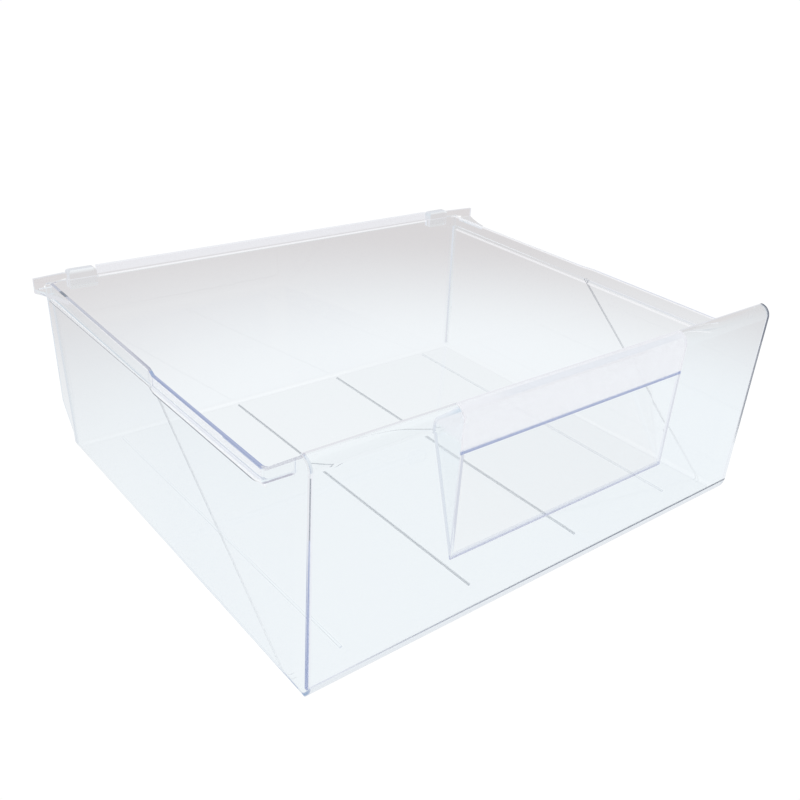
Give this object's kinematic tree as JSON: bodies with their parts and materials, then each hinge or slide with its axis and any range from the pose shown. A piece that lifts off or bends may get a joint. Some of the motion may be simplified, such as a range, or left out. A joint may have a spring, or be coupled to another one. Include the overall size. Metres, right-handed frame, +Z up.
{
  "type": "freezer drawer",
  "caption": "Clear freezer drawer: tapered tub with a ledged rim, an upright front plate with a grip strip over a finger pocket, and stops at the rear corners.",
  "frame": {"origin": "middle of the footprint at the height of the surface that the runners stand on", "axes": "+X to the right as seen from the front, +Y from the front plate towards the back, +Z up"},
  "size_m": [0.472, 0.3906, 0.1805],
  "materials": {
    "clear_tub": "polished clear polystyrene, faintly blue at the edges",
    "clear_front": "polished clear polystyrene, blue at the cut edges",
    "hazy_grip": "clear plastic with a fine haze, faintly lavender"
  },
  "bodies": {
    "root": {"tub": "clear_tub", "front_panel": "clear_front", "grip_strip": "hazy_grip", "finger_pocket": "clear_front", "stop_right": "clear_tub", "stop_left": "clear_tub"}
  },
  "joints": []
}
